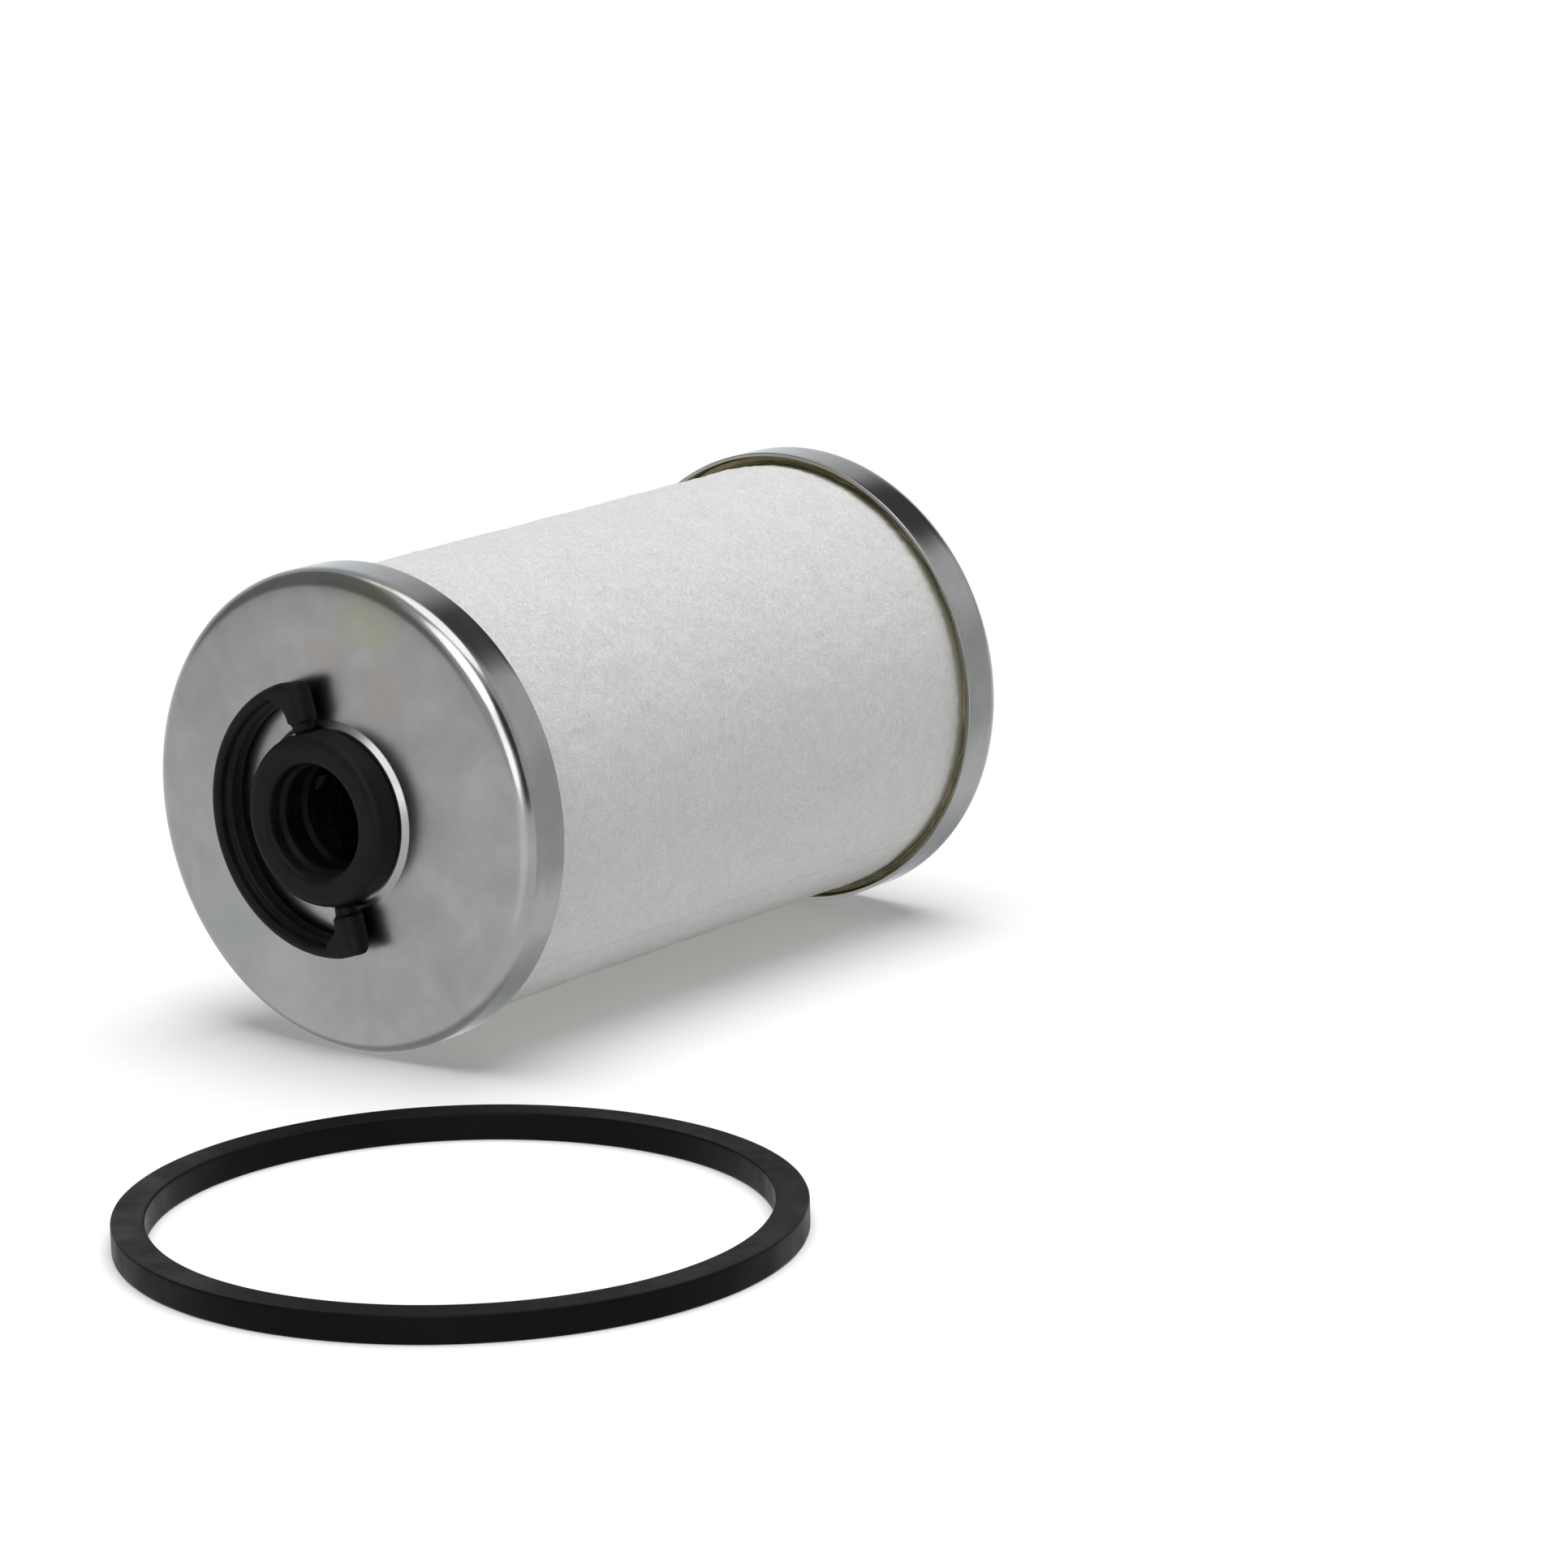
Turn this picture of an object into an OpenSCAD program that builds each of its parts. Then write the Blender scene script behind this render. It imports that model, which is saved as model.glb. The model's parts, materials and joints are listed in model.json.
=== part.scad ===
// Felt filter cartridge lying on its side, with the loose rubber gasket of its housing.
// Millimetres. The cartridge's axis is +Y, +Z is up, and the origin is on that axis, in the
// plane of the rubber face at the end with the pull bail. The plain end is at +Y.

/* [Cartridge] */
// Outer diameter of the sheet-metal end caps
cap_d = 63; // [58:0.5:70]
// Length over both rubber faces
total_l = 110; // [90:1:140]
// Thickness of the end caps' sheet
sheet_t = 0.5; // [0.4:0.1:0.8]
// Height of an end cap's skirt, face included
skirt_h = 7.5; // [5:0.5:12]
// Outer corner radius between an end cap's face and its skirt
cap_corner_r = 2.2; // [1.2:0.1:3]
// Gap between the felt and an end cap's skirt
felt_gap = 1.3; // [0.6:0.1:3]
// Thickness of the adhesive between an end cap and the felt
adhesive_t = 1.0; // [0.6:0.1:2]
// How far below a skirt's edge the adhesive in the gap round the felt ends
adhesive_below = 1.4; // [0.8:0.1:1.9]

/* [Centre tube] */
// Outer diameter of the perforated tube inside the felt
tube_d = 22; // [21.8:0.1:22.4]
// Wall of the perforated tube
tube_t = 0.4; // [0.3:0.05:0.5]
// Diameter of one perforation
perf_d = 4; // [3:0.5:5]
// Rows of perforations along the tube
perf_rows = 12; // [6:1:13]
// Perforations round the tube in each row
perf_per_row = 8; // [6:1:9]

/* [Grommets] */
// Outer diameter of a grommet's head
grommet_d = 22.4; // [22:0.1:22.6]
// How far a grommet's face stands proud of its end cap
grommet_proud = 4.5; // [4.2:0.1:5]
// Diameter of a grommet's bore between its sealing lips
bore_d = 14.8; // [14.4:0.1:15.2]
// Diameter over the crests of a grommet's two sealing lips
lip_d = 13.8; // [13:0.1:14]

/* [Pull bail] */
// Outer diameter of the half ring
bail_d = 35.8; // [34:0.2:40]
// Thickness of the half ring along the cartridge's axis
bail_h = 3.4; // [2.4:0.1:3.4]
// Angle of the bail's two webs from the vertical, seen from the bail end, with the half ring at -X
bail_turn = 14.5; // [-30:0.5:30]

/* [Housing gasket] */
// Outer diameter of the gasket
gasket_d = 81; // [76:0.5:86]
// Width of the gasket's section
gasket_w = 4; // [3:0.5:5]
// Height of the gasket's section
gasket_h = 3.4; // [2.5:0.1:5]
// Centre of the gasket on the floor, beside the bail end
gasket_x = 61; // [56:1:90]
gasket_y = -44; // [-90:1:-44]

/* [Hidden] */
$fn = 128;

cap_r = cap_d / 2;
felt_r = cap_r - sheet_t - felt_gap;
floor_z = -cap_r;                     // the skirts rest on the floor
felt_end = grommet_proud + sheet_t + adhesive_t;
adhesive_creep = skirt_h - sheet_t - adhesive_below;

// Embossed ring round a cap's hole, which the grommet sits on
emboss_h = 0.6;
emboss_top_r = grommet_d / 2 + 0.4;
emboss_foot_r = emboss_top_r + 0.7;
hole_r = 9.05;

// Grommet, as depths from its face
head_round = 1.2;
mouth_round = 0.8;
neck_r = 9;
neck_from = grommet_proud - emboss_h;
neck_to = neck_from + sheet_t;
head_side = neck_from - 0.2;          // where the head's side turns in to the embossed ring
head_foot_r = grommet_d / 2 - 0.2;
flange_r = 10.3;
flange_to = neck_to + 1.6;
sleeve_r = 9.4;
sleeve_to = 9;
lip_depths = [3, 7.2];
lip_flat = 0.6;
lip_flank = 0.7;

// Bail, hinged on two round necks that sit in blind sockets of the grommet
bail_face = 0.7;                      // its face lies this far behind the grommet's
hinge_at = bail_face + bail_h / 2;
bail_r = bail_d / 2;
band_w = 2.3;                         // width of the band at its back
band_face_w = 1.4;                    // and at its face, above a ledge on its inner side
ledge_depth = 1.3;
edge_round = 0.6;
web_side = 1.1;                       // from a web's middle to its flat side, within the half ring
web_barrel_r = 1.95;                  // a web's other side is round about the hinge line
web_to = bail_r - 0.2;
web_gap = 0.15;                       // between a web and the grommet's side
web_relief_to = 12.6;                 // inside this radius a web clears the embossed ring,
web_relief_r = 1.35;                  // and so stays this close to the hinge line
web_fillet = 2.0;
deep_round = bail_h - 0.4;            // takes the deep outer corner off each end of the half ring,
deep_round_w = 2.6;                   // this far in from the web's middle
face_round = 1.2;                     // and takes the corner off a web at its face
pin_r = 1.0;
pin_clearance = 0.05;
pin_depth = 1.6;
socket_depth = 1.8;

seam_w = 3;
seam_t = 0.5;
seam_angle = 200;
eps = 0.01;

// Lays something built along +Z down along +Y
module lie() { rotate([-90, 0, 0]) children(); }

// Turns something built at the bail end round to the plain end
module at_plain_end() { translate([0, 0, total_l]) mirror([0, 0, 1]) children(); }

// Half section with one rounded outer corner at its start, from the axis out to radius r
module rounded_start(r, h, round) {
    translate([0, round]) square([r, h - round]);
    square([r - round, round + eps]);
    translate([r - round, round]) circle(round);
}

// Half section of an end cap, its face at depth 0
module cap_section() {
    difference() {
        rounded_start(cap_r, skirt_h, cap_corner_r);
        translate([-eps, sheet_t])
            rounded_start(cap_r - sheet_t + eps, skirt_h, cap_corner_r - sheet_t);
        translate([-eps, -eps]) square([emboss_foot_r + eps, sheet_t + 2 * eps]);
    }
    polygon([[hole_r, -emboss_h], [emboss_top_r, -emboss_h], [emboss_foot_r, 0],
             [emboss_foot_r, sheet_t], [emboss_top_r, sheet_t - emboss_h],
             [hole_r, sheet_t - emboss_h]]);
}

module end_cap() {
    translate([0, 0, grommet_proud]) rotate_extrude() cap_section();
}

// Dish of cured adhesive that holds the felt in its cap, bevelled to clear the cap's corner,
// with a rim that creeps up between the felt and the skirt
module end_adhesive() {
    inner = tube_d / 2 + 0.05;
    outer = cap_r - sheet_t - 0.2;
    bevel = cap_corner_r - sheet_t;
    rim_inner = felt_r + 0.05;
    rim_slope = 0.5;
    translate([0, 0, grommet_proud + sheet_t])
        rotate_extrude()
            polygon([[emboss_foot_r, 0], [outer - bevel, 0], [outer, adhesive_t],
                     [outer, adhesive_creep - rim_slope], [rim_inner, adhesive_creep],
                     [rim_inner, adhesive_t], [inner, adhesive_t], [inner, 0.1],
                     [emboss_foot_r, 0.1]]);
}

// Outline of a grommet's rubber without its bore, as a half section
module grommet_outline() {
    rounded_start(grommet_d / 2, head_side, head_round);
    polygon([[0, head_side - eps], [grommet_d / 2, head_side - eps], [grommet_d / 2, head_side],
             [head_foot_r, neck_from], [0, neck_from]]);
    translate([0, neck_from - eps]) square([neck_r, sheet_t + 2 * eps]);
    translate([0, neck_to]) square([flange_r, flange_to - neck_to]);
    translate([0, flange_to - eps]) square([sleeve_r, sleeve_to - flange_to + eps]);
}

module sealing_lip(depth) {
    half = lip_flat / 2;
    polygon([[bore_d / 2 + eps, depth - half - lip_flank], [lip_d / 2, depth - half],
             [lip_d / 2, depth + half], [bore_d / 2 + eps, depth + half + lip_flank]]);
}

// The bore's half section: a rounded mouth at the face, and two lips that reach inwards
module bore_section() {
    difference() {
        translate([-1, -1]) square([bore_d / 2 + 1, sleeve_to + 2]);
        for (depth = lip_depths) sealing_lip(depth);
    }
    difference() {
        translate([bore_d / 2 - eps, -1]) square([mouth_round + eps, 1 + mouth_round]);
        translate([bore_d / 2 + mouth_round, mouth_round]) circle(mouth_round);
    }
}

module grommet() {
    rotate_extrude() difference() {
        grommet_outline();
        bore_section();
    }
}

// The two blind sockets in the grommet's side, on the hinge line along Y
module hinge_sockets() {
    for (side = [-1, 1])
        translate([0, side * (grommet_d / 2 - socket_depth), hinge_at])
            rotate([-90 * side, 0, 0])
                cylinder(r = pin_r + pin_clearance, h = socket_depth + 1);
}

// Half section of the bail's band, with the ledge on its inner side
module band_section() {
    difference() {
        union() {
            translate([bail_r - band_w, ledge_depth]) square([band_w, bail_h - ledge_depth]);
            translate([bail_r - band_face_w, 0]) square([band_face_w, bail_h]);
        }
        for (end = [0, 1])
            translate([bail_r, end * bail_h]) mirror([0, end])
                difference() {
                    translate([-edge_round, -eps]) square([edge_round + eps, edge_round + eps]);
                    translate([-edge_round, edge_round]) circle(edge_round);
                }
    }
}

// A round bar along the hinge line, between two distances from the cartridge's axis
module hinge_bar(r, from, to) {
    translate([0, from, bail_h / 2]) rotate([-90, 0, 0]) cylinder(r = r, h = to - from);
}

// One web from the band in to the grommet, its round neck, and the fillet inside the band
module bail_web() {
    web_from = grommet_d / 2 + web_gap;
    fillet_at = bail_r - band_w - web_fillet - 0.3;
    fillet_to = bail_r - band_face_w + 0.2;
    intersection() {
        translate([-web_side, web_from, 0])
            cube([web_side + web_barrel_r + 1, web_to - web_from, bail_h]);
        union() {
            hinge_bar(web_barrel_r, web_relief_to, web_to + 1);
            hinge_bar(web_relief_r, web_from - 1, web_to);
        }
    }
    hinge_bar(pin_r, grommet_d / 2 - pin_depth, web_from + 1);
    linear_extrude(bail_h)
        difference() {
            translate([-web_side - web_fillet, fillet_at])
                square([web_fillet + eps, fillet_to - fillet_at]);
            translate([-web_side - web_fillet, fillet_at]) circle(web_fillet);
        }
}

// What a rounding takes off the outer edge of one end of the half ring, from a place along the
// edge; the edge is at the bail's back
module bail_edge_cut(round, from) {
    cut_w = web_barrel_r + 0.5 - from;
    translate([from, bail_r - round, bail_h - round])
        difference() {
            cube([cut_w, round + 1, round + 1]);
            translate([-1, 0, 0]) rotate([0, 90, 0]) cylinder(r = round, h = cut_w + 2);
        }
}

module pull_bail() {
    color("dimgray") lie() rotate([0, 0, -bail_turn]) translate([0, 0, bail_face])
        difference() {
            union() {
                rotate([0, 0, 90]) rotate_extrude(angle = 180) band_section();
                for (end = [0, 1]) mirror([0, end, 0]) bail_web();
            }
            for (end = [0, 1]) mirror([0, end, 0]) {
                bail_edge_cut(deep_round, -deep_round_w);
                translate([0, 0, bail_h]) mirror([0, 0, 1]) bail_edge_cut(face_round, -web_side);
            }
        }
}

module bail_end_cap() { color("silver") lie() end_cap(); }

module plain_end_cap() { color("silver") lie() at_plain_end() end_cap(); }

module bail_end_adhesive() { color("darkkhaki") lie() end_adhesive(); }

module plain_end_adhesive() { color("darkkhaki") lie() at_plain_end() end_adhesive(); }

module felt_tube() {
    felt_l = total_l - 2 * felt_end;
    color("whitesmoke") lie() translate([0, 0, felt_end])
        difference() {
            cylinder(r = felt_r, h = felt_l);
            translate([0, 0, -1]) cylinder(r = tube_d / 2 + 0.05, h = felt_l + 2);
        }
}

// Rolled tube with staggered rows of round holes and its folded seam on the inside
module centre_tube() {
    tube_from = neck_to;
    tube_l = total_l - 2 * tube_from;
    row_pitch = (total_l - 2 * (sleeve_to + perf_d)) / (perf_rows - 1);
    seam_from = sleeve_to + 0.5;
    color("tan") lie() {
        difference() {
            translate([0, 0, tube_from]) cylinder(d = tube_d, h = tube_l);
            translate([0, 0, tube_from - 1]) cylinder(r = tube_d / 2 - tube_t, h = tube_l + 2);
            for (row = [0 : perf_rows - 1], i = [0 : perf_per_row - 1])
                rotate([0, 0, (i + 0.5 * (row % 2) + 0.25) * 360 / perf_per_row])
                    translate([tube_d / 2 - 1, 0, sleeve_to + perf_d + row * row_pitch])
                        rotate([0, 90, 0]) cylinder(d = perf_d, h = 2);
        }
        rotate([0, 0, seam_angle])
            translate([tube_d / 2 - tube_t - seam_t, -seam_w / 2, seam_from])
                cube([seam_t + 0.2, seam_w, total_l - 2 * seam_from]);
    }
}

module bail_end_grommet() {
    color("dimgray") lie() difference() {
        grommet();
        rotate([0, 0, -bail_turn]) hinge_sockets();
    }
}

module plain_end_grommet() { color("dimgray") lie() at_plain_end() grommet(); }

module housing_gasket() {
    color("dimgray") translate([gasket_x, gasket_y, floor_z])
        rotate_extrude()
            translate([gasket_d / 2 - gasket_w, 0]) square([gasket_w, gasket_h]);
}

bail_end_cap();
plain_end_cap();
bail_end_adhesive();
plain_end_adhesive();
felt_tube();
centre_tube();
bail_end_grommet();
plain_end_grommet();
pull_bail();
housing_gasket();
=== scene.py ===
"""A felt filter cartridge lying on its side, and the rubber gasket of its housing, in a pale studio."""
import json
import math

import bpy
import numpy as np
from mathutils import Matrix, Vector


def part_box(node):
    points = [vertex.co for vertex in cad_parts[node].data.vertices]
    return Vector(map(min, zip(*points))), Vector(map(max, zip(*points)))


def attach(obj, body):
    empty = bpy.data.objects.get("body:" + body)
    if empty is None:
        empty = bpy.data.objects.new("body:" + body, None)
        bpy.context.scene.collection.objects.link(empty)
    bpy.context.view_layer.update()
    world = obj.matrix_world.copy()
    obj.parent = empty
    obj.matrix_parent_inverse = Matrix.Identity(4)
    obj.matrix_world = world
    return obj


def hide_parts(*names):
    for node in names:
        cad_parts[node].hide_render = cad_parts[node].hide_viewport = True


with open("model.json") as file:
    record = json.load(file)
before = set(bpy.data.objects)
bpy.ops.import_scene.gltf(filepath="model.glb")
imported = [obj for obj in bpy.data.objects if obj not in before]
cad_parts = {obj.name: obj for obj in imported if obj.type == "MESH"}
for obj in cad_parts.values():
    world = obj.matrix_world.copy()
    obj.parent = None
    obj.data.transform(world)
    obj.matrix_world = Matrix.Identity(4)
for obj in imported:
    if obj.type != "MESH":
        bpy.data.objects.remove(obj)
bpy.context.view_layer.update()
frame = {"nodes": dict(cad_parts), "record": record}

MM = 0.001
TAU = 2 * math.pi


# ---------------------------------------------------------------- sizes, read from the frame

def box_mm(node):
    """A node's lowest and highest corners, in millimetres."""
    low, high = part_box(node)
    return np.array(low) / MM, np.array(high) / MM


CAP_LOW, CAP_HIGH = box_mm("bail_end_cap")
FELT_LOW, FELT_HIGH = box_mm("felt_tube")
GASKET_LOW, GASKET_HIGH = box_mm("housing_gasket")
GLUE_LOW, GLUE_HIGH = box_mm("bail_end_adhesive")
GROMMET_R, GROMMET_L = box_mm("bail_end_grommet")[1][:2]
TUBE_R = box_mm("centre_tube")[1][0]
MOUNTS = {m["name"]: m for m in frame["record"]["mounts"]}

CAP_R = CAP_HIGH[0]
SHEET_T = 0.5
CORNER_R = 2.2                              # of a cap, from its face to its skirt
EMBOSS_H = 0.6                              # of the raised ring round a cap's hole
EMBOSS_TOP_R = GROMMET_R + 0.4
EMBOSS_FOOT_R = EMBOSS_TOP_R + 0.7
HOLE_R = 9.05
SKIRT_H = CAP_HIGH[1] - CAP_LOW[1] - EMBOSS_H
SKIRT_END = CAP_HIGH[1]                     # depth of the skirt's edge
CAP_FACE = CAP_LOW[1] + EMBOSS_H            # depth of the cap's face behind the rubber face
LENGTH = box_mm("plain_end_cap")[1][1] + CAP_LOW[1]     # over both rubber faces
FELT_R = FELT_HIGH[0]
SEAM_ARC = math.radians(134) * FELT_R       # the felt's butt seam, measured round its skin from the top
BORE_R = TUBE_R + 0.05                      # of the felt and the adhesive, round the centre tube

GROMMET_PROUD = CAP_FACE - EMBOSS_H         # depth of the embossed ring, which a grommet's head sits on
LIP_R = MOUNTS["bail_end_seal"]["dims"]["r_mm"]
LIP_DEPTHS = (7.2, 3.0)
FLANGE_R, FLANGE_T = 10.3, 1.6              # of a grommet, behind its cap's sheet
SLEEVE_R = 9.4
FLOOR = GASKET_LOW[2]


# ---------------------------------------------------------------- meshes

def rounded(corners, steps=6):
    """A closed outline from (a, b, radius) corners, each radius an arc of a few points."""
    out = []
    count = len(corners)
    for i, (a, b, radius) in enumerate(corners):
        here = np.array([a, b], float)
        if not radius:
            out.append(here)
            continue
        before = np.array(corners[i - 1][:2], float) - here
        after = np.array(corners[(i + 1) % count][:2], float) - here
        u, v = before / np.linalg.norm(before), after / np.linalg.norm(after)
        half = math.acos(np.clip(u @ v, -1, 1)) / 2
        centre = here + (u + v) / np.linalg.norm(u + v) * radius / math.sin(half)
        start, end = here + u * radius / math.tan(half), here + v * radius / math.tan(half)
        angle = [math.atan2(*(p - centre)[::-1]) for p in (start, end)]
        turn = (angle[1] - angle[0] + math.pi) % TAU - math.pi
        for k in range(steps + 1):
            t = angle[0] + turn * k / steps
            out.append(centre + radius * np.array([math.cos(t), math.sin(t)]))
    return np.array(out)


def filled_in(outline, longest):
    """The closed outline with no stretch longer than the given length."""
    out = []
    for here, after in zip(outline, np.roll(outline, -1, axis=0)):
        pieces = max(1, math.ceil(np.linalg.norm(after - here) / longest))
        out += [here + (after - here) * k / pieces for k in range(pieces)]
    return np.array(out)


def ring_mesh(name, points, body, *nodes):
    """A closed ring of quads from points[outline, turn, xyz] in millimetres, riding on a body."""
    rows, turns = points.shape[:2]
    i, j = np.meshgrid(np.arange(rows), np.arange(turns), indexing="ij")
    i2, j2 = (i + 1) % rows, (j + 1) % turns
    quads = np.stack([i * turns + j, i2 * turns + j, i2 * turns + j2, i * turns + j2], -1)
    quads = quads.reshape(-1, 4)
    flat = points.reshape(-1, 3)
    a, b, c, d = (flat[quads[:, k]] for k in range(4))
    if np.einsum("ij,ij->i", a + b + c + d, np.cross(c - a, d - b)).sum() < 0:
        quads = quads[:, ::-1]
    mesh = bpy.data.meshes.new(name)
    mesh.from_pydata((flat * MM).tolist(), [], quads.tolist())
    mesh.polygons.foreach_set("use_smooth", [True] * len(quads))
    piece = bpy.data.objects.new(name, mesh)
    bpy.context.scene.collection.objects.link(piece)
    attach(piece, body)
    if nodes:
        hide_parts(*nodes)
    return piece


def lathe_y(outline, turns):
    """Points of an outline of (radius, y) turned about the cartridge's axis."""
    t = np.arange(turns) * TAU / turns
    radius, y = outline[:, :1], outline[:, 1:]
    return np.stack([radius * np.cos(t), y + 0 * t, radius * np.sin(t)], -1)


def ripple(seed, rows, turns, down, around):
    """Smooth random heights of about -1 to 1 over a grid that closes on itself both ways."""
    rng = np.random.default_rng(seed)
    lattice = rng.uniform(-1, 1, (down, around))

    def along(values, count):
        at = np.arange(count) * len(values) / count
        low = at.astype(int)
        f = (at - low)[:, None]
        f = f * f * (3 - 2 * f)
        return values[low % len(values)] * (1 - f) + values[(low + 1) % len(values)] * f

    return along(along(lattice, rows).T, turns).T


def at_bail_end(points):
    """Points at the bail end, left where they are."""
    return points


def at_plain_end(points):
    """Points at the bail end moved to the plain end."""
    return points * [1, -1, 1] + [0, LENGTH, 0]


# ---------------------------------------------------------------- materials

class Nodes:
    """Short calls that add nodes to a shader tree."""

    def __init__(self, tree, place):
        self.tree = tree
        self.place = self.add("ShaderNodeTexCoord").outputs[place]

    def add(self, kind, **settings):
        node = self.tree.nodes.new(kind)
        for key, value in settings.items():
            setattr(node, key, value)
        return node

    def feed(self, socket, value):
        """Link an output to a socket, or set the socket to a number or a colour."""
        if hasattr(value, "is_linked"):
            self.tree.links.new(value, socket)
        elif isinstance(value, tuple) and socket.type == "RGBA":
            socket.default_value = (*value, 1)
        else:
            socket.default_value = value

    def maths(self, operation, a, b=0.0):
        node = self.add("ShaderNodeMath", operation=operation)
        self.feed(node.inputs[0], a)
        self.feed(node.inputs[1], b)
        return node.outputs[0]

    def vector(self, operation, a, b=(0, 0, 0)):
        node = self.add("ShaderNodeVectorMath", operation=operation)
        self.feed(node.inputs[0], a)
        self.feed(node.inputs[1], b)
        return node.outputs["Value" if operation in ("DOT_PRODUCT", "LENGTH", "DISTANCE") else "Vector"]

    def split(self, vector):
        node = self.add("ShaderNodeSeparateXYZ")
        self.feed(node.inputs[0], vector)
        return node.outputs

    def join(self, x, y, z):
        node = self.add("ShaderNodeCombineXYZ")
        for socket, value in zip(node.inputs, (x, y, z)):
            self.feed(socket, value)
        return node.outputs[0]

    def spread(self, value, low, high, to_low=0.0, to_high=1.0, smooth=False):
        node = self.add("ShaderNodeMapRange", clamp=True)
        if smooth:
            node.interpolation_type = "SMOOTHSTEP"
        for key, number in (("From Min", low), ("From Max", high), ("To Min", to_low), ("To Max", to_high)):
            node.inputs[key].default_value = number
        self.feed(node.inputs["Value"], value)
        return node.outputs[0]

    def colours(self, value, *stops):
        node = self.add("ShaderNodeValToRGB")
        ramp = node.color_ramp
        while len(ramp.elements) < len(stops):
            ramp.elements.new(0.5)
        for element, (at, colour) in zip(ramp.elements, stops):
            element.position = at
            element.color = (*colour, 1)
        self.feed(node.inputs["Fac"], value)
        return node.outputs["Color"]

    def mix(self, share, a, b):
        node = self.add("ShaderNodeMix", data_type="RGBA")
        for socket, value in zip((node.inputs[0], node.inputs[6], node.inputs[7]), (share, a, b)):
            self.feed(socket, value)
        return node.outputs[2]


class Material(Nodes):
    """A new material with one Principled shader."""

    def __init__(self, name):
        self.material = bpy.data.materials.new(name)
        self.material.use_nodes = True
        super().__init__(self.material.node_tree, "Object")
        self.shader = self.tree.nodes["Principled BSDF"]

    def set(self, **values):
        for key, value in values.items():
            self.feed(self.shader.inputs[key.replace("_", " ")], value)

    def noise(self, size_mm, detail=4, rough=0.55, place=None, distortion=0.0):
        node = self.add("ShaderNodeTexNoise")
        node.inputs["Scale"].default_value = 1 / (size_mm * MM)
        node.inputs["Detail"].default_value = detail
        node.inputs["Roughness"].default_value = rough
        node.inputs["Distortion"].default_value = distortion
        self.feed(node.inputs["Vector"], place or self.place)
        return node.outputs["Fac"]

    def unrolled(self, radius_mm, along=1.0):
        """Place on a skin about the cartridge's axis: (arc, y, radius), with the arc's joint underneath."""
        x, y, z = self.split(self.place)
        arc = self.maths("MULTIPLY", self.maths("ARCTAN2", x, z), radius_mm * MM * along)
        radius = self.vector("LENGTH", self.join(x, 0.0, z))
        return self.join(arc, y, radius)

    def bump(self, *layers):
        """Bump nodes one after another, from (height, strength, depth in mm)."""
        normal = None
        for height, strength, depth in layers:
            node = self.add("ShaderNodeBump")
            node.inputs["Strength"].default_value = strength
            node.inputs["Distance"].default_value = depth * MM
            self.feed(node.inputs["Height"], height)
            if normal:
                self.feed(node.inputs["Normal"], normal)
            normal = node.outputs[0]
        self.feed(self.shader.inputs["Normal"], normal)


# Stains of the passivation on both caps' faces: x, z and size in mm, and the metal's colour there
STAINS = [(6, 26, 5.5, (0.32, 0.315, 0.235)), (-1.5, 21, 3.5, (0.325, 0.30, 0.285)),
          (9.5, 16.5, 4.5, (0.32, 0.295, 0.285)), (-17, -15, 8.0, (0.30, 0.315, 0.325))]


def zinc_sheet():
    """Zinc-plated steel: satin and clouded on the face, burnished where it was drawn round the corner."""
    n = Material("zinc_sheet")
    x, y, z = n.split(n.place)
    radius = n.vector("LENGTH", n.join(x, 0.0, z))
    burnished = n.spread(radius, (CAP_R - CORNER_R) * MM, (CAP_R - CORNER_R / 2) * MM, smooth=True)
    cloud = n.noise(7, 5, 0.6, distortion=0.4)
    broad = n.noise(19, 3, 0.5)
    grain = n.noise(0.22, 4, 0.7)
    lines = n.noise(0.16, 4, 0.7, n.unrolled(CAP_R, 0.03))
    shade = n.maths("ADD", n.maths("MULTIPLY", cloud, 0.65), n.maths("MULTIPLY", broad, 0.35))
    metal = n.colours(shade, (0.34, (0.275, 0.278, 0.282)), (0.5, (0.31, 0.311, 0.312)),
                      (0.66, (0.35, 0.349, 0.346)))
    for stain_x, stain_z, size, colour in STAINS:
        off = n.vector("DISTANCE", n.join(x, 0.0, z), (stain_x * MM, 0, stain_z * MM))
        ragged = n.maths("ADD", off, n.maths("MULTIPLY", cloud, 0.012))
        stained = n.spread(ragged, (size * 0.5 + 6) * MM, (size * 1.2 + 6) * MM, 0.6, 0.0, True)
        metal = n.mix(stained, metal, colour)
    specks = n.spread(n.noise(0.5, 5, 0.8), 0.64, 0.76, 0.0, 0.35)
    metal = n.mix(specks, metal, (0.16, 0.16, 0.16))
    satin = n.spread(shade, 0.35, 0.65, 0.31, 0.26)
    drawn = n.spread(cloud, 0.35, 0.65, 0.17, 0.12)
    rough = n.maths("ADD", satin, n.maths("MULTIPLY", burnished, n.maths("SUBTRACT", drawn, satin)))
    n.set(Base_Color=metal, Metallic=1.0, Roughness=rough, Specular_Tint=(0.94, 0.98, 1.0))
    n.bump((n.noise(9, 3, 0.5), 0.3, 0.06), (n.noise(2.5, 3, 0.5), 0.12, 0.03), (grain, 0.5, 0.012),
           (lines, 0.35, 0.006))
    return n.material


def passivated_sheet():
    """The inside of a cap's rim, with an olive-yellow film."""
    n = Material("passivated_sheet")
    patches = n.noise(3, 5, 0.6)
    n.set(Base_Color=n.colours(patches, (0.3, (0.26, 0.25, 0.15)), (0.55, (0.42, 0.40, 0.25)),
                               (0.75, (0.54, 0.52, 0.38))),
          Metallic=0.4, Roughness=n.spread(patches, 0.3, 0.7, 0.3, 0.5))
    n.bump((n.noise(1.2, 4, 0.6), 0.4, 0.05))
    return n.material


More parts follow.
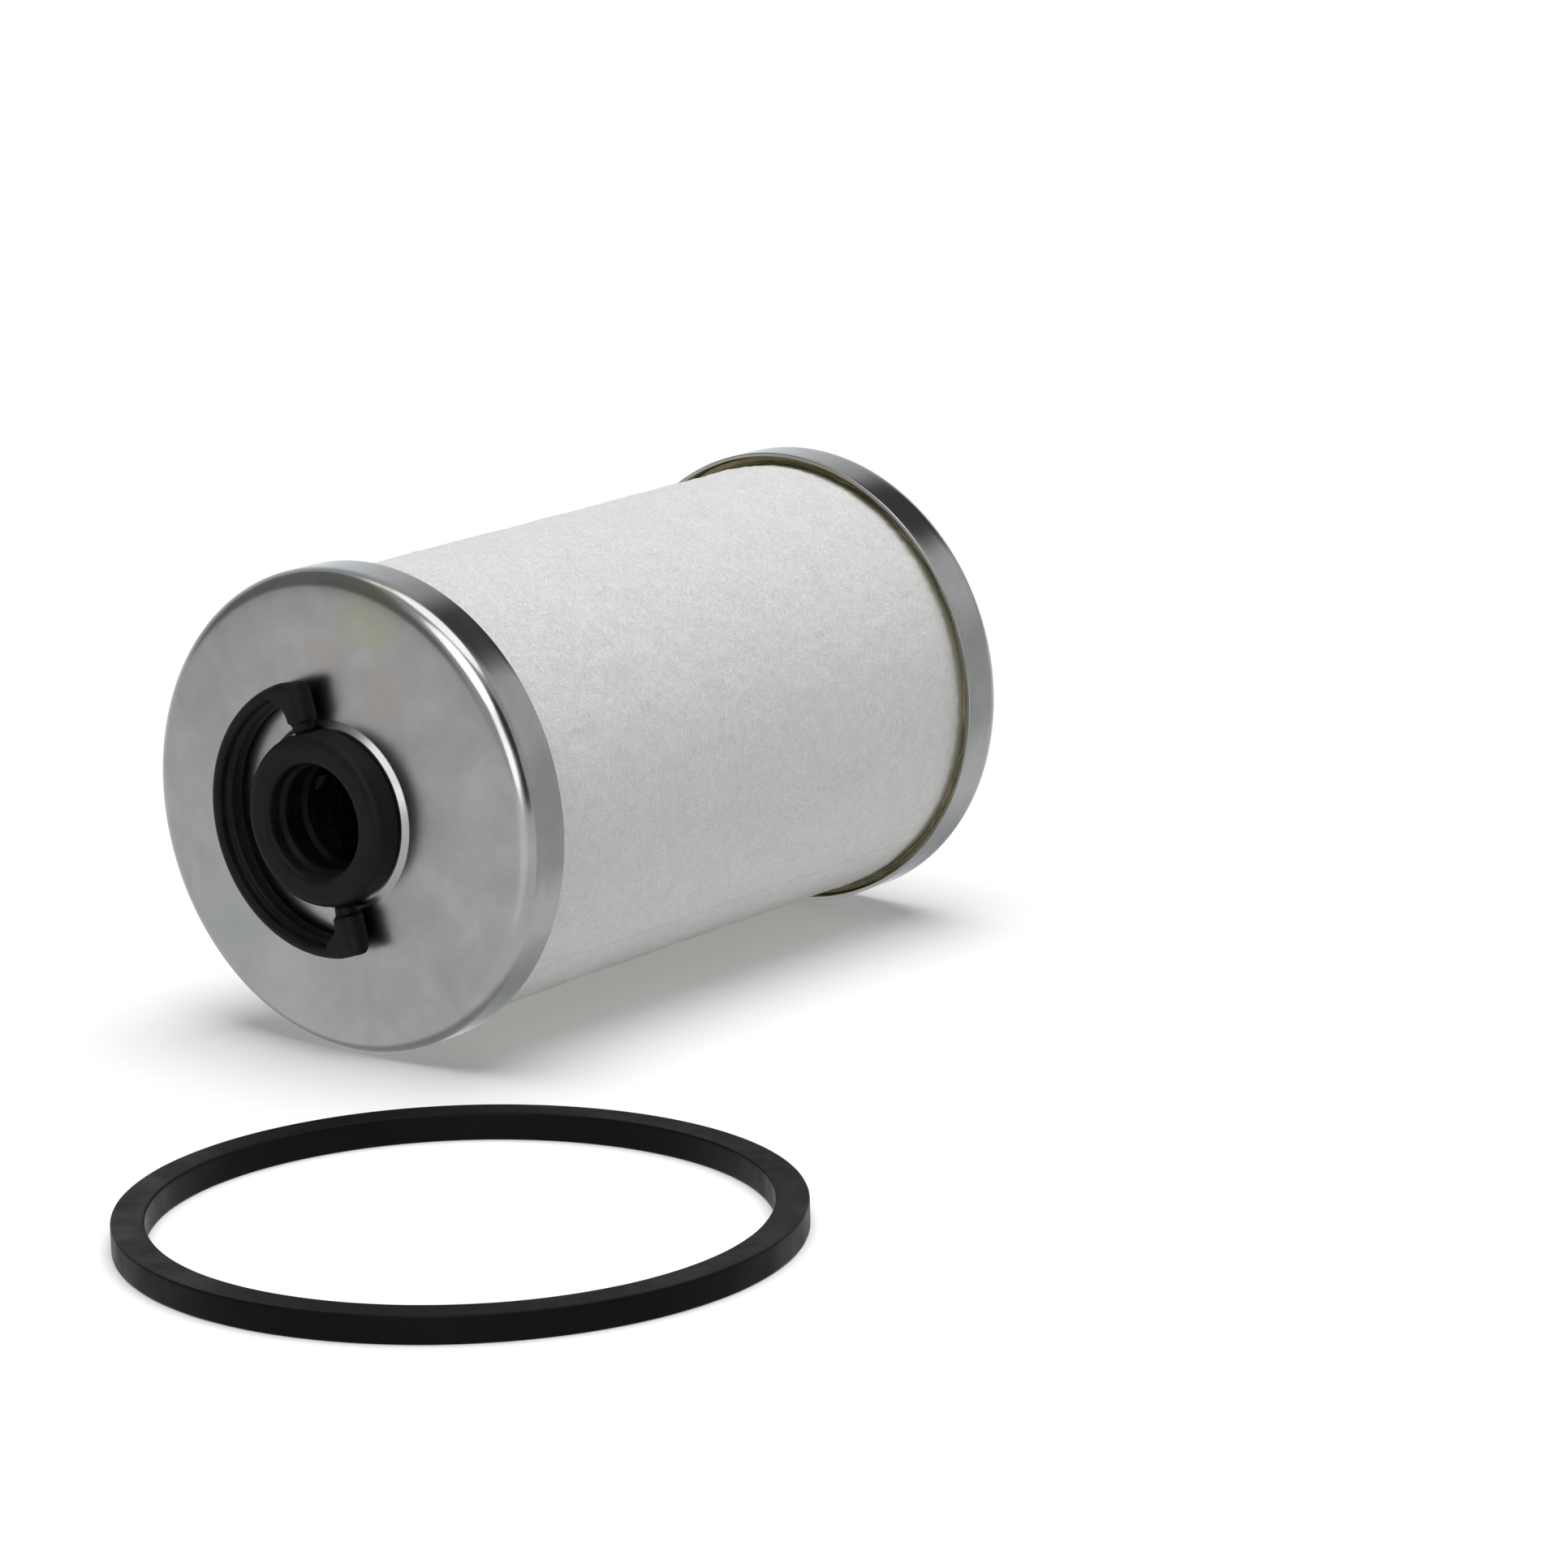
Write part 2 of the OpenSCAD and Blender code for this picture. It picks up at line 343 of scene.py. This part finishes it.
def needled_felt():
    """White felt: tufts, leaning fibres, small hollows greyed with painted shade, a butt seam, adhesive
    soaked in at the rims, and painted shade darkening it round the bore.
    """
    n = Material("needled_felt")
    skin = n.unrolled(FELT_R)
    arc, y, radius = n.split(skin)

    def fibres(lean):
        """Streaks about 1.2 mm long and 0.2 mm wide that run round the tube, leaning along it."""
        slanted = n.maths("ADD", y, n.maths("MULTIPLY", arc, lean))
        return n.noise(0.2, 3, 0.6, n.join(n.maths("MULTIPLY", arc, 0.17), slanted, radius), distortion=0.5)

    steep, flat = fibres(0.9), fibres(0.15)
    turned = n.spread(n.noise(4, 2, 0.5, skin), 0.4, 0.6)
    streaks = n.maths("ADD", flat, n.maths("MULTIPLY", turned, n.maths("SUBTRACT", steep, flat)))
    curls = n.noise(0.5, 3, 0.6, skin, distortion=2.5)
    fuzz = n.noise(0.14, 3, 0.7, skin, distortion=1.0)
    cloud = n.noise(5, 4, 0.6, skin)
    pits_and_shade = n.spread(n.noise(0.55, 3, 0.6, skin, distortion=1.0), 0.27, 0.36, 1.0, 0.0)
    shade = n.maths("ADD", n.maths("MULTIPLY", curls, 0.5),
                    n.maths("ADD", n.maths("MULTIPLY", streaks, 0.4), n.maths("MULTIPLY", cloud, 0.1)))
    white = n.colours(shade, (0.34, (0.60, 0.603, 0.598)), (0.5, (0.735, 0.737, 0.733)),
                      (0.66, (0.85, 0.85, 0.848)))
    # Painted shade: the felt is greyed in its pits in place of the shade in them; the pits' bump further
    # down is real relief.
    white = n.mix(n.maths("MULTIPLY", pits_and_shade, 0.3), white, (0.45, 0.45, 0.43))

    wander = n.maths("MULTIPLY", n.noise(9, 3, 0.6, skin), 2 * MM)
    off = n.maths("ABSOLUTE", n.maths("ADD", n.maths("SUBTRACT", arc, SEAM_ARC * MM), wander))
    seam = n.spread(off, 0.05 * MM, 0.35 * MM, 1.0, 0.0, True)
    white = n.mix(n.maths("MULTIPLY", seam, 0.16), white, (0.3, 0.3, 0.28))

    from_skirt = n.maths("MINIMUM", n.maths("SUBTRACT", y, SKIRT_END * MM),
                         n.maths("SUBTRACT", (LENGTH - SKIRT_END) * MM, y))
    ragged = n.maths("ADD", from_skirt, n.maths("MULTIPLY", n.noise(1.5, 4, 0.65, skin), 1.6 * MM))
    soaked = n.spread(ragged, 0.6 * MM, 1.5 * MM, 0.85, 0.0, True)
    white = n.mix(soaked, white, (0.48, 0.46, 0.33))
    # Painted shade: the felt turns brown-black towards the bore, in place of the shade inside the centre
    # tube.
    painted_bore_shade = n.spread(radius, (BORE_R + 0.45) * MM, (BORE_R + 1.45) * MM, 0.8, 0.0)
    white = n.mix(painted_bore_shade, white, (0.14, 0.12, 0.08))
    n.set(Base_Color=white, Roughness=0.95, Sheen_Weight=0.15, Sheen_Roughness=0.5, Specular_IOR_Level=0.1)
    n.bump((curls, 0.8, 0.24), (streaks, 0.7, 0.12), (fuzz, 0.4, 0.05), (pits_and_shade, -0.5, 0.12),
           (seam, -0.6, 0.12))
    return n.material


def black_rubber():
    """Moulded rubber with a dull bloom and a little dust."""
    n = Material("black_rubber")
    dust = n.noise(0.35, 6, 0.8)
    cloud = n.noise(3.5, 4, 0.6)
    bloom = n.colours(cloud, (0.35, (0.0055, 0.0055, 0.0058)), (0.65, (0.0105, 0.0105, 0.0105)))
    n.set(Base_Color=n.mix(n.spread(dust, 0.66, 0.76, 0.0, 0.5), bloom, (0.06, 0.06, 0.055)),
          Roughness=n.spread(cloud, 0.3, 0.7, 0.42, 0.58), Specular_IOR_Level=0.1)
    n.bump((cloud, 0.15, 0.08), (dust, 0.3, 0.02))
    return n.material


def gasket_rubber():
    """Rubber parted from a turned sleeve, with fine rings on its flat faces."""
    n = Material("gasket_rubber")
    centre = (GASKET_LOW + GASKET_HIGH) / 2 * MM
    x, y, z = n.split(n.vector("SUBTRACT", n.place, (centre[0], centre[1], 0.0)))
    rings = n.noise(0.22, 4, 0.7, n.join(n.vector("LENGTH", n.join(x, y, 0.0)), 0.0, z))
    grain = n.noise(0.25, 6, 0.75)
    cloud = n.noise(6, 4, 0.6)
    n.set(Base_Color=n.colours(grain, (0.45, (0.0022, 0.0022, 0.0024)), (0.7, (0.0045, 0.0045, 0.0045)),
                               (0.8, (0.014, 0.014, 0.014))),
          Roughness=n.spread(cloud, 0.3, 0.7, 0.36, 0.55), Specular_IOR_Level=0.07)
    n.bump((cloud, 0.2, 0.08), (rings, 0.35, 0.03), (grain, 0.25, 0.015))
    return n.material


def tube_steel():
    """The centre tube's dull, brownish rolled steel, its colour made dark as painted shade for the inside of
    the bore.
    """
    n = Material("tube_steel")
    patches = n.noise(2.5, 5, 0.65)
    n.set(Base_Color=n.colours(patches, (0.3, (0.05, 0.04, 0.03)), (0.55, (0.12, 0.10, 0.08)),
                               (0.75, (0.24, 0.22, 0.19))),
          Metallic=0.9, Roughness=n.spread(patches, 0.3, 0.7, 0.25, 0.45))
    n.bump((n.noise(0.8, 4, 0.6), 0.3, 0.03))
    return n.material


def cured_adhesive():
    """Olive adhesive, patchy where it creeps up between felt and skirt."""
    n = Material("cured_adhesive")
    patches = n.noise(1.4, 5, 0.65, n.unrolled(FELT_R, 0.5))
    n.set(Base_Color=n.colours(patches, (0.3, (0.28, 0.25, 0.14)), (0.55, (0.48, 0.45, 0.30)),
                               (0.75, (0.64, 0.62, 0.47))),
          Roughness=n.spread(patches, 0.3, 0.7, 0.3, 0.55), Specular_IOR_Level=0.5)
    n.bump((n.noise(0.7, 4, 0.6), 0.5, 0.1))
    return n.material


def pale_floor():
    """Pale grey that the light takes to white, but for the shadows."""
    n = Material("pale_floor")
    n.set(Base_Color=n.colours(n.noise(60, 3, 0.5), (0.3, (0.70, 0.70, 0.70)), (0.7, (0.72, 0.72, 0.72))),
          Roughness=0.7, Specular_IOR_Level=0.2, Emission_Color=(1.0, 0.985, 0.95), Emission_Strength=0.2)
    return n.material


# ---------------------------------------------------------------- pieces

CAP_TURNS = 480
CROWN = 0.22                                # how far a cap's face falls away before its corner
CROWN_W = 4.3                               # over this width


def cap_outline():
    """Outline of the drawn sheet as (radius, depth)."""
    inner_r = CAP_R - SHEET_T
    return filled_in(rounded([
        (HOLE_R, -EMBOSS_H, 0.12), (EMBOSS_TOP_R, -EMBOSS_H, 0.15), (EMBOSS_FOOT_R, 0, 0.25),
        (CAP_R, 0, CORNER_R), (CAP_R, SKIRT_H, 0.12), (inner_r, SKIRT_H, 0.12),
        (inner_r, SHEET_T, CORNER_R - SHEET_T), (EMBOSS_FOOT_R, SHEET_T, 0.3),
        (EMBOSS_TOP_R, SHEET_T - EMBOSS_H, 0.2), (HOLE_R, SHEET_T - EMBOSS_H, 0.12)], 8), 1.0)


def end_cap(name, node, seed, place):
    """A cap of drawn sheet, its face a little crowned and its skirt a little uneven."""
    outline = cap_outline()
    rows = len(outline)
    wave = ripple(seed, rows, CAP_TURNS, 5, 9)
    small = ripple(seed + 1, rows, CAP_TURNS, 14, 60)
    depth = outline[:, 1:]
    radius = outline[:, :1]
    points = lathe_y(outline, CAP_TURNS)
    crown_to = CAP_R - CORNER_R
    on_skirt = np.clip((depth - 1.5) / 2, 0, 1)
    on_face = np.clip((radius - EMBOSS_FOOT_R) / 4, 0, 1) * (1 - on_skirt)
    t = np.arange(CAP_TURNS) * TAU / CAP_TURNS
    inwards = on_skirt * (0.035 + 0.03 * wave + 0.008 * small)
    points[..., 0] -= inwards * np.cos(t)
    points[..., 2] -= inwards * np.sin(t)
    points[..., 1] += on_face * (0.04 + 0.035 * wave + 0.004 * small)
    rise = CROWN / CROWN_W ** 2
    crown = np.where(radius < crown_to, rise * np.clip(radius - crown_to + CROWN_W, 0, None) ** 2,
                     CROWN + 2 * rise * CROWN_W * (radius - crown_to))
    points[..., 1] += crown * np.clip(1 - depth / SKIRT_H, 0, 1)
    points[..., 1] += CAP_FACE
    piece = ring_mesh(name, place(points), "cartridge", node)
    piece.data.materials.append(ZINC)
    piece.data.materials.append(OLIVE)
    inside = (depth[:, 0] > SHEET_T + 0.3) & (radius[:, 0] < CAP_R - SHEET_T / 2)
    row_of_face = np.repeat(np.arange(rows), CAP_TURNS)
    index = np.where(inside & np.roll(inside, -1), 1, 0)[row_of_face]
    piece.data.polygons.foreach_set("material_index", index.astype(np.int32))
    return piece


def grommet_outline():
    """Outline of a grommet as (radius, depth): head, neck in the cap's hole, flange, sleeve and two lips."""
    bore = LIP_R + 0.5
    neck = HOLE_R - 0.05
    top, under = GROMMET_PROUD, GROMMET_PROUD + SHEET_T
    lip = [(bore, -1.0, 0.15), (LIP_R, -0.3, 0.12), (LIP_R, 0.3, 0.12), (bore, 1.0, 0.15)]
    lips = [(r, at + dy, f) for at in LIP_DEPTHS for r, dy, f in reversed(lip)]
    return filled_in(rounded([
        (bore, 0, 0.8), (GROMMET_R, 0, 1.2), (GROMMET_R, top - 0.2, 0.12), (GROMMET_R - 0.2, top, 0.08),
        (neck, top, 0.05), (neck, under, 0.05), (FLANGE_R, under, 0.1), (FLANGE_R, under + FLANGE_T, 0.3),
        (SLEEVE_R, under + FLANGE_T, 0.2), (SLEEVE_R, GROMMET_L, 0.3), (bore, GROMMET_L, 0.3),
        *lips], 6), 0.5)


def grommet(name, node, seed, place):
    """A moulded grommet, never quite round."""
    outline = grommet_outline()
    turns = 240
    points = lathe_y(outline, turns)
    wave = 1 - 0.0012 * (1 + ripple(seed, len(outline), turns, 8, 14))
    points[..., 0] *= wave
    points[..., 2] *= wave
    piece = ring_mesh(name, place(points), "cartridge", node)
    piece.data.materials.append(RUBBER)
    return piece


def felt_tube():
    """The felt, with tufts and shallow rings in its skin and edges that roll in."""
    low, high = FELT_LOW[1], FELT_HIGH[1]
    outline = filled_in(rounded([(BORE_R, low, 0), (FELT_R, low, 1.6), (FELT_R, high, 1.6),
                                 (BORE_R, high, 0)], 8), 0.42)
    turns = 460
    rows = len(outline)
    radius, y = outline[:, :1], outline[:, 1:]
    outside = np.clip((radius - FELT_R + 2.5) / 2, 0, 1)
    rng = np.random.default_rng(5)
    height = (0.10 * ripple(11, rows, turns, 26, 16) + 0.06 * ripple(12, rows, turns, 60, 70)
              + 0.05 * ripple(13, rows, turns, 160, 190) + 0.05 * rng.uniform(-1, 1, (rows, turns)))
    edge = np.clip(1 - np.minimum(y - low, high - y) / 4, 0, 1) ** 2
    height = height * (1 + 1.5 * edge) - 0.25 * edge
    t = np.arange(turns) * TAU / turns
    points = lathe_y(outline, turns)
    points[..., 0] += outside * height * np.cos(t)
    points[..., 2] += outside * height * np.sin(t)
    piece = ring_mesh("felt", points, "cartridge", "felt_tube")
    piece.data.materials.append(FELT)
    return piece


def adhesive(name, node, seed, place):
    """A dish of adhesive whose rim creeps up the felt and the skirt by uneven amounts."""
    low, high = GLUE_LOW[1], GLUE_HIGH[1]
    outer, wall = GLUE_HIGH[0], FELT_R + 0.02
    base = FELT_LOW[1]
    outline = filled_in(rounded([
        (BORE_R, low + 0.1, 0), (outer - CORNER_R + SHEET_T, low, 0.3), (outer, base, 0.2),
        (outer, high, 0.1), ((outer + wall) / 2, high - 0.9, 0.3), (wall, high + 0.6, 0.1),
        (wall, base, 0), (BORE_R, base, 0)], 5), 0.35)
    turns = 540
    points = lathe_y(outline, turns)
    radius, y = outline[:, :1], outline[:, 1:]
    rim = np.clip((y - base - 0.8) / (high - base - 0.8), 0, 1)
    points[..., 1] += rim * (0.7 * ripple(seed, len(outline), turns, 2, 23)
                             + 0.4 * ripple(seed + 1, len(outline), turns, 3, 90))
    piece = ring_mesh(name, place(points), "cartridge", node)
    piece.data.materials.append(GLUE)
    return piece


def pull_bail():
    """The bail as moulded: the CAD solid's mesh, remeshed and eased so that every edge is soft."""
    solid = frame["nodes"]["pull_bail"]
    piece = bpy.data.objects.new("bail_ring", solid.data.copy())
    piece.matrix_world = solid.matrix_world
    bpy.context.scene.collection.objects.link(piece)
    remesh = piece.modifiers.new("remesh", "REMESH")
    remesh.mode = "VOXEL"
    remesh.voxel_size = 0.11 * MM
    ease = piece.modifiers.new("ease", "SMOOTH")
    ease.factor = 0.6
    ease.iterations = 60
    refill = piece.modifiers.new("refill", "DISPLACE")
    refill.strength = 0.09 * MM
    refill.mid_level = 0
    evaluated = piece.evaluated_get(bpy.context.evaluated_depsgraph_get())
    mesh = bpy.data.meshes.new_from_object(evaluated)
    piece.modifiers.clear()
    piece.data = mesh
    mesh.materials.clear()
    mesh.materials.append(RUBBER)
    mesh.polygons.foreach_set("use_smooth", [True] * len(mesh.polygons))
    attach(piece, "bail")
    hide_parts("pull_bail")
    return piece


def gasket():
    """The loose ring, not quite even, lying flat."""
    centre = (GASKET_LOW + GASKET_HIGH) / 2
    outer = (GASKET_HIGH[0] - GASKET_LOW[0]) / 2
    inner = MOUNTS["gasket_bore"]["dims"]["r_mm"]
    height = GASKET_HIGH[2] - GASKET_LOW[2]
    edge = 0.25
    outline = filled_in(rounded([(inner, 0, edge), (outer, 0, edge), (outer, height, edge),
                                 (inner, height, edge)], 5), 0.35)
    turns = 720
    rows = len(outline)
    t = np.arange(turns) * TAU / turns
    radius, z = outline[:, :1], outline[:, 1:]
    radius = radius - 0.06 + 0.05 * ripple(31, rows, turns, 1, 11) + 0.02 * ripple(32, rows, turns, 8, 60)
    z = z + 0 * t
    points = np.stack([centre[0] + radius * np.cos(t), centre[1] + radius * np.sin(t), FLOOR + z], -1)
    piece = ring_mesh("gasket_ring", points, "gasket", "housing_gasket")
    piece.data.materials.append(GASKET)
    piece.visible_glossy = False             # it would draw dark streaks in the cap's corner
    return piece


# ---------------------------------------------------------------- studio

def towards(azimuth, elevation):
    """Unit vector towards a place in the studio; azimuth 0 is +Y and 90 is +X."""
    a, e = math.radians(azimuth), math.radians(elevation)
    return Vector((math.sin(a) * math.cos(e), math.cos(a) * math.cos(e), math.sin(e)))


# What the metal and the rubber mirror, above and below the horizon, each card over the ones before it:
# azimuth, elevation, inner and outer half angle in degrees, level
CARDS_ABOVE = [
    (-120, 30, 30, 39, 0.30),
    (-152, 20, 12, 22, 0.27),
    (-45, 5, 14, 34, 0.95),
    (30, 25, 8, 18, 0.95),
    (1, 37, 8, 20, 0.09),
    (30, 75, 22, 27, 3.0),
    (-76, 68, 6, 9, 2.0),
    (152, 46, 20, 24, 3.3),
    (142, 15, 13, 18, 3.0),
    (100, 32, 11, 22, 0.08),
    (100, 3, 11, 22, 0.08)]
CARDS_BELOW = [
    (-45, -60, 25, 48, 0.5),
    (150, -16, 12, 26, 1.3),
    (48, -8, 14, 28, 0.74)]
ROOM_LEVEL = 0.72                           # mirrored above the horizon between the cards
GROUND_LEVEL = 1.04                         # mirrored below it
AMBIENT = 0.07                              # even light on whatever isn't a mirror
SUN_WIDTH, SUN_ENERGY = math.radians(56), 3.6
FLOOR_HALF = 6.0                            # metres


def surroundings():
    """White to the camera, cards in a dim room to reflections, and a low even light to everything else."""
    world = bpy.data.worlds.new("studio")
    bpy.context.scene.world = world
    world.use_nodes = True
    n = Nodes(world.node_tree, "Generated")

    def blend(share, this, other):
        """other + share * (this - other)"""
        return n.maths("ADD", other, n.maths("MULTIPLY", share, n.maths("SUBTRACT", this, other)))

    def with_cards(level, cards):
        for azimuth, elevation, inner, outer, card in cards:
            near = n.vector("DOT_PRODUCT", n.place, tuple(towards(azimuth, elevation)))
            mask = n.spread(near, math.cos(math.radians(outer)), math.cos(math.radians(inner)), smooth=True)
            level = blend(mask, card, level)
        return level

    above_horizon = n.spread(n.split(n.place)[2], -0.03, 0.03)
    mirrored_level = blend(above_horizon, with_cards(ROOM_LEVEL, CARDS_ABOVE),
                           with_cards(GROUND_LEVEL, CARDS_BELOW))
    ray = n.add("ShaderNodeLightPath").outputs
    level = blend(ray["Is Camera Ray"], 1.0, blend(ray["Is Glossy Ray"], mirrored_level, AMBIENT))
    background = n.tree.nodes["Background"]
    n.feed(background.inputs["Color"], (1.0, 1.0, 1.0))
    n.feed(background.inputs["Strength"], level)


def studio():
    """Floor, surroundings and one big soft light overhead."""
    mesh = bpy.data.meshes.new("floor")
    corners = [(-1, -1), (1, -1), (1, 1), (-1, 1)]
    mesh.from_pydata([(x * FLOOR_HALF, y * FLOOR_HALF, FLOOR * MM) for x, y in corners], [], [(0, 1, 2, 3)])
    floor = bpy.data.objects.new("floor", mesh)
    bpy.context.scene.collection.objects.link(floor)
    mesh.materials.append(pale_floor())
    floor.visible_glossy = False             # reflections see the even ground of the surroundings instead
    surroundings()
    light = bpy.data.lights.new("overhead", "SUN")
    light.angle = SUN_WIDTH
    light.energy = SUN_ENERGY
    lamp = bpy.data.objects.new("overhead", light)
    bpy.context.scene.collection.objects.link(lamp)
    lamp.matrix_world = towards(20, 86).to_track_quat("Z", "Y").to_matrix().to_4x4()
    lamp.visible_glossy = False
    bpy.context.scene.view_settings.view_transform = "Standard"


CAMERA_AT = (0.5050, -0.5516, 0.1836)
CAMERA_TURN = (37.9, 13.58, -1.35)          # degrees to the left of +Y, down, and rolled


def camera():
    """A long lens low on the bail end's right, tipped down and rolled a little."""
    data = bpy.data.cameras.new("camera")
    data.lens = 139.75
    data.sensor_width = 36
    rig = bpy.data.objects.new("camera", data)
    bpy.context.scene.collection.objects.link(rig)
    bpy.context.scene.camera = rig
    left, down, roll = (math.radians(turn) for turn in CAMERA_TURN)
    ahead = Vector((-math.sin(left) * math.cos(down), math.cos(left) * math.cos(down), -math.sin(down)))
    level = Vector((math.cos(left), math.sin(left), 0))
    steep = level.cross(ahead)
    right = level * math.cos(roll) + steep * math.sin(roll)
    up = steep * math.cos(roll) - level * math.sin(roll)
    turned = Matrix((right, up, -ahead)).transposed().to_4x4()
    rig.matrix_world = Matrix.Translation(CAMERA_AT) @ turned
    data.clip_end = 30


ZINC = zinc_sheet()
OLIVE = passivated_sheet()
FELT = needled_felt()
RUBBER = black_rubber()
GASKET = gasket_rubber()
STEEL_DARKENED_AS_SHADE = tube_steel()
GLUE = cured_adhesive()

camera()
studio()
end_cap("bail_cap_sheet", "bail_end_cap", 21, at_bail_end)
end_cap("plain_cap_sheet", "plain_end_cap", 23, at_plain_end)
grommet("bail_end_rubber", "bail_end_grommet", 41, at_bail_end)
grommet("plain_end_rubber", "plain_end_grommet", 43, at_plain_end)
felt_tube()
adhesive("bail_end_glue", "bail_end_adhesive", 51, at_bail_end)
adhesive("plain_end_glue", "plain_end_adhesive", 52, at_plain_end)
pull_bail()
gasket()
# The centre tube keeps its CAD mesh; its steel is darkened as painted shade inside the bore.
for slot in frame["nodes"]["centre_tube"].material_slots:
    slot.material = STEEL_DARKENED_AS_SHADE
